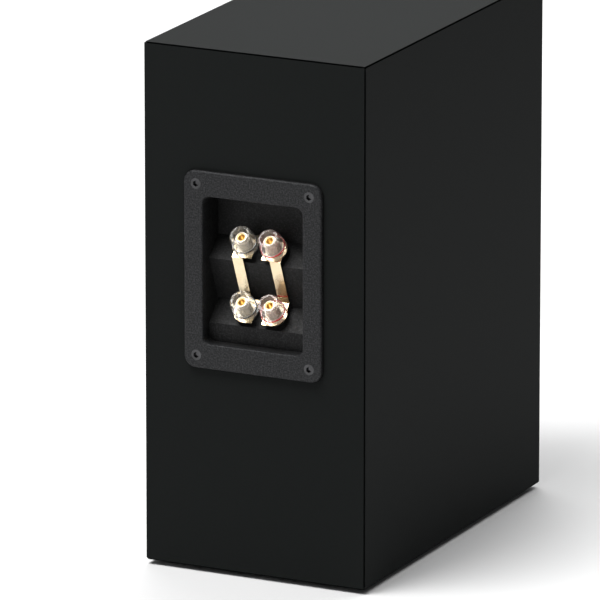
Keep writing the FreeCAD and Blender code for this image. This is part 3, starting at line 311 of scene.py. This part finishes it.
def vinyl_finish():
    """Satin black wrap with a faint orange peel."""
    made = Finish("black_vinyl", Specular_IOR_Level=0.014)
    made.color(made.noise(1300.0, 3.0), (0.0118, 0.0130, 0.0127), (0.0138, 0.0152, 0.0149))
    made.roughness(made.noise(1700.0, 2.0), 0.46, 0.52)
    made.bump(made.noise(900.0, 3.0), 0.010 * MM, 0.5)
    made.bump(made.cells(2600.0), 0.004 * MM, 0.4)
    return made.material


def fibreboard_finish():
    made = Finish("fibreboard", Roughness=0.85)
    fibres = made.noise(1400.0, 6.0, (1.0, 1.0, 0.35))
    made.color(fibres, (0.30, 0.19, 0.10), (0.47, 0.33, 0.19))
    made.bump(fibres, 0.05 * MM)
    return made.material


def rubber_finish():
    made = Finish("black_rubber", Specular_IOR_Level=0.4)
    skin = made.noise(1500.0, 3.0)
    made.color(skin, (0.010, 0.010, 0.011), (0.019, 0.019, 0.020))
    made.roughness(made.noise(240.0, 3.0), 0.55, 0.75)
    made.bump(skin, 0.01 * MM, 0.6)
    return made.material


def surround_finish():
    """Butyl rubber: smoother than the feet, with a slight bloom."""
    made = Finish("surround_rubber", Specular_IOR_Level=0.45)
    made.color(made.noise(260.0, 4.0), (0.009, 0.009, 0.010), (0.016, 0.016, 0.017))
    made.roughness(made.noise(900.0, 3.0), 0.36, 0.46)
    made.bump(made.noise(1300.0, 2.0), 0.006 * MM, 0.5)
    return made.material


def foam_finish():
    made = Finish("black_foam", Roughness=0.95, Specular_IOR_Level=0.2)
    pores = made.cells(2400.0)
    made.color(pores, (0.002, 0.002, 0.002), (0.007, 0.007, 0.007))
    made.bump(pores, 0.08 * MM)
    return made.material


def fibre_finish():
    """Loose pale fibres, tangled in every direction."""
    made = Finish("wadding_fibre", Roughness=0.95, Sheen_Weight=0.4, Sheen_Roughness=0.5)
    tangle = made.noise(700.0, 8.0, (1.0, 0.25, 1.0), 0.75)
    tufts = made.noise(90.0, 5.0, rough=0.65)
    made.color(made.math("MULTIPLY", tangle, tufts), (0.55, 0.54, 0.50), (0.83, 0.83, 0.80), 0.12, 0.4)
    made.bump(tangle, 0.35 * MM)
    made.bump(tufts, 1.2 * MM, 0.7)
    return made.material


def paper_finish(name, dark, light, rough):
    """Pressed pulp: short fibres and fine mottling under a thin coat."""
    made = Finish(name, Specular_IOR_Level=0.35)
    pulp = made.noise(1600.0, 7.0, (1.0, 0.6, 0.45), 0.7)
    made.color(pulp, dark, light)
    made.roughness(made.noise(320.0, 4.0), rough - 0.07, rough + 0.07)
    made.bump(pulp, 0.06 * MM)
    return made.material


def cloth_finish(name, dark, light, threads, depth, rough=0.8):
    """Plain weave seen from the front: threads per metre across X and Z."""
    made = Finish(name, Roughness=rough, Sheen_Weight=0.15)
    weave = made.math("MULTIPLY", made.bands(threads, "X"), made.bands(threads, "Z"))
    made.color(made.noise(400.0, 4.0), dark, light)
    made.bump(weave, depth)
    return made.material


def winding_finish(name, axis, turns):
    """Lacquered copper wire wound in close turns along an axis."""
    made = Finish(name, Metallic=1.0, Coat_Weight=0.5, Coat_Roughness=0.1)
    turn = made.bands(turns, axis, 0.3)
    made.color(turn, (0.36, 0.13, 0.05), (0.85, 0.42, 0.22))
    made.roughness(made.noise(500.0, 3.0), 0.22, 0.36)
    made.bump(turn, 0.12 * MM)
    return made.material


def ferrite_finish():
    made = Finish("ferrite", Specular_IOR_Level=0.45)
    grit = made.noise(1900.0, 5.0)
    made.color(grit, (0.018, 0.018, 0.020), (0.045, 0.044, 0.046))
    made.roughness(made.noise(130.0, 4.0), 0.5, 0.8)
    made.bump(grit, 0.03 * MM)
    return made.material


def clear_finish(name, dark, light, alpha):
    """Polycarbonate: slightly cloudy, with faint flow marks and fine handling scratches."""
    made = Finish(name, Transmission_Weight=0.62, IOR=1.50, Alpha=alpha)
    made.color(made.noise(420.0, 3.0), dark, light)
    made.roughness(made.noise(260.0, 3.0), 0.02, 0.06)
    made.bump(made.noise(420.0, 2.0), 0.012 * MM, 0.5)
    return made.material


def gloss_finish(name, dark, light, rough=0.18):
    made = Finish(name, Coat_Weight=0.4, Coat_Roughness=0.06)
    made.color(made.noise(350.0, 3.0), dark, light)
    made.roughness(made.noise(900.0, 3.0), rough * 0.8, rough * 1.4)
    made.bump(made.noise(1100.0, 2.0), 0.004 * MM, 0.5)
    return made.material


def laminate_finish():
    """Brown circuit board with a faint glass weave."""
    made = Finish("board_laminate", Coat_Weight=0.2)
    weave = made.math("MULTIPLY", made.bands(420.0, "X"), made.bands(420.0, "Y"))
    made.color(made.noise(220.0, 4.0), (0.26, 0.14, 0.05), (0.36, 0.21, 0.09))
    made.roughness(weave, 0.35, 0.5, 0.0, 1.0)
    made.bump(weave, 0.03 * MM, 0.5)
    return made.material


def cement_finish():
    made = Finish("resistor_cement", Roughness=0.9)
    grit = made.noise(2200.0, 5.0)
    made.color(grit, (0.62, 0.60, 0.55), (0.82, 0.80, 0.75))
    made.bump(grit, 0.08 * MM)
    return made.material


def jacket_finish():
    """Lead jackets, black on one side of the cabinet and red on the other."""
    made = Finish("lead_jacket", Roughness=0.45)
    across = made.add("ShaderNodeSeparateXYZ", Vector=made.coords).outputs["X"]
    made.color(across, (0.45, 0.012, 0.012), (0.012, 0.012, 0.013), -0.0005, 0.0005)
    made.bump(made.noise(900.0, 2.0), 0.02 * MM, 0.5)
    return made.material


def dress_nodes():
    """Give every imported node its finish."""
    vinyl, rubber = vinyl_finish(), rubber_finish()
    port = moulded("port_plastic", (0.012, 0.012, 0.013), (0.021, 0.021, 0.022), 0.5, 1900.0, 0.05 * MM)
    face = moulded("faceplate_plastic", (0.013, 0.013, 0.014), (0.020, 0.020, 0.021), 0.42, 2400.0, 0.03 * MM)
    basket = moulded("basket_coat", (0.016, 0.016, 0.017), (0.028, 0.028, 0.029), 0.40, 2100.0, 0.04 * MM)
    gold = metal("gold_plate", (0.70, 0.50, 0.23), (0.56, 0.37, 0.15), 0.28)
    link = metal("link_plate", (0.93, 0.79, 0.55), (0.88, 0.71, 0.46), 0.17)
    insert = metal("insert_plate", (0.80, 0.72, 0.58), (0.70, 0.61, 0.46), 0.26, Metallic=0.6)
    zinc = metal("zinc_steel", (0.62, 0.61, 0.58), (0.45, 0.45, 0.44), 0.36)
    screws = metal("black_steel", (0.075, 0.075, 0.078), (0.045, 0.045, 0.046), 0.20)
    tin = metal("tin_plate", (0.80, 0.79, 0.75), (0.62, 0.61, 0.58), 0.28)
    silk = cloth_finish("dome_silk", (0.012, 0.012, 0.013), (0.022, 0.022, 0.024), 420.0, 0.03 * MM, 0.62)
    copper = winding_finish("copper_winding", "Y", 400.0)
    finishes = {
        "panel_top": vinyl, "panel_bottom": vinyl, "panel_left": vinyl, "panel_right": vinyl,
        "front_baffle": vinyl, "back_panel": vinyl, "window_brace": fibreboard_finish(),
        "rubber_feet": rubber, "grille_sockets": port, "port_tube": port,
        "woofer_basket": basket, "woofer_gasket": rubber,
        "woofer_cone": paper_finish("cone_paper", (0.014, 0.014, 0.015), (0.032, 0.032, 0.034), 0.58),
        "woofer_dust_cap": paper_finish("dust_cap_paper", (0.010, 0.010, 0.011), (0.019, 0.019, 0.020), 0.42),
        "woofer_voice_coil": copper, "woofer_top_plate": zinc, "woofer_magnet": ferrite_finish(),
        "woofer_yoke": zinc, "woofer_screws": screws,
        "tweeter_faceplate": face, "tweeter_dome": silk, "tweeter_voice_coil": copper,
        "tweeter_top_plate": zinc, "tweeter_magnet": ferrite_finish(), "tweeter_yoke": zinc,
        "tweeter_screws": screws, "terminal_cup": cup_finish(), "terminal_gasket": foam_finish(),
        "terminal_screws": screws, "post_collars": port, "post_nuts": gold,
        "solder_lugs": tin, "crossover_board": laminate_finish(),
        "crossover_standoffs": port, "crossover_coils": winding_finish("coil_winding", "Z", 500.0),
        "crossover_capacitors": gloss_finish("capacitor_sleeve", (0.50, 0.20, 0.02), (0.62, 0.28, 0.04)),
        "crossover_resistors": cement_finish(), "input_leads": jacket_finish(),
        "woofer_leads": jacket_finish(), "tweeter_leads": jacket_finish(),
        "jumper_link_black": link, "jumper_link_red": link,
    }
    clear = {
        "black": clear_finish("clear_cap", (0.97, 0.93, 0.85), (1.0, 0.97, 0.89), 0.30),
        "red": clear_finish("clear_cap_pink", (1.0, 0.85, 0.79), (1.0, 0.90, 0.84), 0.36),
    }
    rings = {
        "black": gloss_finish("ring_black", (0.006, 0.006, 0.006), (0.010, 0.010, 0.010)),
        "red": gloss_finish("ring_red", (0.50, 0.008, 0.012), (0.64, 0.015, 0.020)),
    }
    for post in POSTS:
        side = post.split("_")[1]
        finishes["post_cap_" + post] = clear[side]
        finishes["post_insert_" + post] = insert
        finishes["post_ring_" + post] = rings[side]
    for node, finish in finishes.items():
        slots = NODES[node].data.materials
        for index in range(len(slots)):
            slots[index] = finish
    return gold, insert


# ---------------------------------------------------------------- drivers' flexible parts


def outline_mesh(name, rings, closed, finish):
    """Smooth mesh through equal rings of points; a closed one joins its last ring to its first."""
    count = len(rings[0])
    mesh = bpy.data.meshes.new(name)
    faces = []
    for index in range(len(rings) if closed else len(rings) - 1):
        here, there = index * count, (index + 1) % len(rings) * count
        for k in range(count):
            after = (k + 1) % count
            faces.append((here + k, here + after, there + after, there + k))
    if not closed:
        faces += [tuple(range(count)), tuple(reversed(range((len(rings) - 1) * count, len(rings) * count)))]
    mesh.from_pydata([tuple(point) for ring in rings for point in ring], [], faces)
    return mesh_object(name, mesh, finish)


def mesh_object(name, mesh, finish):
    edit = bmesh.new()
    edit.from_mesh(mesh)
    bmesh.ops.recalc_face_normals(edit, faces=edit.faces)
    edit.to_mesh(mesh)
    edit.free()
    mesh.shade_smooth()
    mesh.materials.append(finish)
    piece = bpy.data.objects.new(name, mesh)
    bpy.context.scene.collection.objects.link(piece)
    return piece


def turned(name, node, profile, finish, steps=144):
    """Ring round a driver's axis from a closed outline of (radius, distance behind the baffle's face)."""
    centre, front = middle(node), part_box("front_baffle")[0].y
    rings = []
    for step in range(steps):
        angle = 2 * math.pi * step / steps
        across, up = math.cos(angle), math.sin(angle)
        rings.append([(centre.x + r * across, front + depth, centre.z + r * up) for r, depth in profile])
    return outline_mesh(name, rings, True, finish)


def roll_profile(inner, crest, outer, roll, skin, seat, points=20):
    """Outline of a half-round roll between two flat lips, bulging forwards from its seat."""
    lean = math.asin(skin / roll)
    top = [math.pi - lean - (math.pi - 2 * lean) * k / points for k in range(points + 1)]
    under = [math.pi * k / points for k in range(points + 1)]
    small = roll - skin
    outline = [(inner, seat), (inner, seat - skin)]
    outline += [(crest + roll * math.cos(a), seat - roll * math.sin(a)) for a in top]
    outline += [(outer, seat - skin), (outer, seat)]
    outline += [(crest + small * math.cos(a), seat - small * math.sin(a)) for a in under]
    return outline


def stretch_across(piece, node):
    """Fix a ring to the cabinet and hide the CAD node that it stands in for."""
    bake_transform(piece)
    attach(piece, "cabinet")
    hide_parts(node)


def make_surround(node, moving, roll, skin, lip, finish):
    low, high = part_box(node)
    outer, seat = (high.x - low.x) / 2, high.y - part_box("front_baffle")[0].y
    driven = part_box(moving)
    rim = (driven[1].x - driven[0].x) / 2
    crest = rim + roll - skin
    profile = roll_profile(rim - lip, crest, outer, roll, skin, seat)
    piece = turned(node + "_roll", node, profile, finish)
    stretch_across(piece, node)


def make_spider(finish):
    """Corrugated cloth disc between the voice coil and the basket's ledge."""
    low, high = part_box("woofer_spider")
    outer, skin, swing = (high.x - low.x) / 2, SPIDER_SKIN, SPIDER_SWING
    flat = high.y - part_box("front_baffle")[0].y - swing - skin
    first, last = SPIDER_FIRST, SPIDER_LAST
    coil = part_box("woofer_voice_coil")
    inner = (coil[1].x - coil[0].x) / 2 - SPIDER_SKIN
    count = SPIDER_FOLDS * SPIDER_STEPS
    step = (last - first) / count
    front = [(inner, flat)]
    for k in range(count + 1):
        front.append((first + k * step, flat - swing * math.sin(math.pi * k / SPIDER_STEPS)))
    front.append((outer, flat))
    rear = [(radius, depth + skin) for radius, depth in reversed(front)]
    piece = turned("spider_cloth", "woofer_spider", front + rear, finish)
    stretch_across(piece, "woofer_spider")


# ---------------------------------------------------------------- threaded shafts and wadding


def thread_radius(angle, height, low, high):
    """Radius of a metric thread at a turn and a height, fading out at the ends of its run."""
    phase = (height / THREAD_PITCH - angle / (2 * math.pi)) % 1.0
    tooth = abs(phase * 2 - 1)
    depth = THREAD_DEPTH * min(1.0, max(0.0, tooth * 1.5 - 0.25))
    fade = min(1.0, max(0.0, (height - low) / THREAD_PITCH), max(0.0, (high - height) / THREAD_PITCH))
    return THREAD_MAJOR - depth * max(0.0, fade)


def shaft_rings():
    """Rings of a shaft about +Z: threaded bar, shoulder on the collar, threaded end, plug socket."""
    steps, rise = 40, 0.125 * MM
    angles = [2 * math.pi * k / steps for k in range(steps)]

    def plain(radius, height):
        return [(radius * math.cos(a), radius * math.sin(a), height) for a in angles]

    def threaded(low, high):
        count = round((high - low) / rise)
        heights = [low + (high - low) * k / count for k in range(count + 1)]
        return [[(r * math.cos(a), r * math.sin(a), h)
                 for a, r in ((a, thread_radius(a, h, low, high)) for a in angles)] for h in heights]

    edge = FINE_EDGE
    rings = [plain(THREAD_MAJOR - THREAD_DEPTH, SHAFT_LOW)]
    rings += threaded(SHAFT_LOW + edge, SHOULDER_LOW)
    rings += [plain(SHOULDER_RADIUS, SHOULDER_LOW), plain(SHOULDER_RADIUS, SHOULDER_HIGH)]
    rings += threaded(SHOULDER_HIGH, SHAFT_HIGH - edge)
    rings += [plain(THREAD_MAJOR - 0.1 * MM, SHAFT_HIGH), plain(SOCKET_RADIUS + edge, SHAFT_HIGH)]
    rings += [plain(SOCKET_RADIUS, SHAFT_HIGH - edge), plain(SOCKET_RADIUS, SOCKET_END)]
    return rings


def make_shafts(gold):
    rings = shaft_rings()
    for post in POSTS:
        foot = Vector(JOINTS["cap_" + post + "_turn"]["pos_m"])
        set_rings = [[foot + POST_LEAN @ Vector(point) for point in ring] for ring in rings]
        piece = outline_mesh("shaft_" + post, set_rings, False, gold)
        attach(piece, "cabinet")
        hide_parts("post_shafts")


def insert_outline(radius):
    """Outline of a cap's insert where its panelled body has a given radius."""
    edge = FINE_EDGE
    return [
        (INSERT_BORE, INSERT_LOW), (INSERT_RADIUS + INSERT_FOOT, INSERT_LOW),
        (INSERT_RADIUS + INSERT_FOOT, INSERT_LOW + INSERT_FOOT), (radius, INSERT_LOW + INSERT_FOOT),
        (radius, INSERT_SHOULDER), (INSERT_NOSE, INSERT_SHOULDER),
        (INSERT_NOSE, INSERT_HIGH - edge), (INSERT_NOSE - edge, INSERT_HIGH), (INSERT_BORE, INSERT_HIGH),
    ]


def make_inserts(finish):
    """Brass inserts inside the caps: flat panels parted by grooves so that the plastic grips them."""
    groove, panel = (-0.12, 0.12), (0.15, 0.38, 0.62, 0.85)
    sector = 2 * math.pi / INSERT_PANELS
    middle_radius = INSERT_RADIUS * math.cos((panel[-1] - 0.5) * sector)
    for post in POSTS:
        foot = Vector(JOINTS["cap_" + post + "_turn"]["pos_m"])
        rings = []
        for index in range(INSERT_PANELS):
            for share in groove + panel:
                flat = middle_radius / math.cos((share - 0.5) * sector)
                radius = INSERT_RADIUS - INSERT_GROOVE if share in groove else flat
                angle = (index + share) * sector
                spot = Vector((math.cos(angle), math.sin(angle), 0))
                outline = insert_outline(radius)
                rings.append([foot + POST_LEAN @ (spot * r + Vector((0, 0, h))) for r, h in outline])
        piece = outline_mesh("insert_" + post, rings, True, finish)
        piece.data.set_sharp_from_angle(angle=math.radians(20))
        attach(piece, "cap_" + post)
        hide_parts("post_insert_" + post)


def make_pad(name, low, high, finish):
    """Wadding pad: soft crowned slab, thin at its edges, with a lumpy face."""
    size, centre = high - low, (low + high) / 2
    across, up = PAD_ACROSS, PAD_UP
    depth = size.x / 2
    rows = []
    for j in range(up + 1):
        v = 2 * j / up - 1
        row = []
        for i in range(across + 1):
            u = 2 * i / across - 1
            crown = (1 - abs(u) ** 5) ** 0.5 * (1 - abs(v) ** 5) ** 0.5
            y, z = centre.y + u * size.y / 2, centre.z + v * size.z / 2
            lump = noise.noise(Vector((name_seed(name), y, z)) / (22 * MM))
            fluff = noise.noise(Vector((name_seed(name), y, z)) / (6 * MM))
            row.append((y, z, depth * max(PAD_LEAST, crown) * (0.86 + 0.10 * lump + 0.04 * fluff)))
        rows.append(row)
    edit = bmesh.new()
    sides = []
    for sign in (-1, 1):
        sides.append([[edit.verts.new((centre.x + sign * d, y, z)) for y, z, d in row] for row in rows])
    for grid in sides:
        for j in range(up):
            for i in range(across):
                edit.faces.new((grid[j][i], grid[j][i + 1], grid[j + 1][i + 1], grid[j + 1][i]))
    rim = [(0, i) for i in range(across)] + [(j, across) for j in range(up)]
    rim += [(up, i) for i in range(across, 0, -1)] + [(j, 0) for j in range(up, 0, -1)]
    back, face = sides
    for (j, i), (q, p) in zip(rim, rim[1:] + rim[:1]):
        edit.faces.new((back[j][i], back[q][p], face[q][p], face[j][i]))
    mesh = bpy.data.meshes.new(name)
    edit.to_mesh(mesh)
    edit.free()
    pad = mesh_object(name, mesh, finish)
    subdivide(pad, 1)
    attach(pad, "cabinet")
    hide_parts("damping_wadding")


def name_seed(name):
    return 0.3 if name.endswith("left") else 0.7


def subdivide(piece, levels):
    modifier = piece.modifiers.new("smooth", "SUBSURF")
    modifier.levels = levels
    modifier.render_levels = levels


def make_wadding(finish):
    low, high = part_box("damping_wadding")
    thick = PAD_THICKNESS
    make_pad("wadding_pad_left", low, Vector((low.x + thick, high.y, high.z)), finish)
    make_pad("wadding_pad_right", Vector((high.x - thick, low.y, low.z)), high, finish)


make_camera()
make_studio()
make_floor()
gold_finish, insert_finish = dress_nodes()
rubber = surround_finish()
make_surround("woofer_surround", "woofer_cone", 4.5 * MM, 0.6 * MM, 2.6 * MM, rubber)
silk = cloth_finish("surround_silk", (0.010, 0.010, 0.011), (0.020, 0.020, 0.022), 420.0, 0.03 * MM, 0.66)
make_surround("tweeter_surround", "tweeter_dome", 1.2 * MM, 0.4 * MM, 0.5 * MM, silk)
make_spider(cloth_finish("spider_cotton", (0.42, 0.27, 0.08), (0.56, 0.38, 0.14), 300.0, 0.10 * MM))
make_shafts(gold_finish)
make_inserts(insert_finish)
make_wadding(fibre_finish())
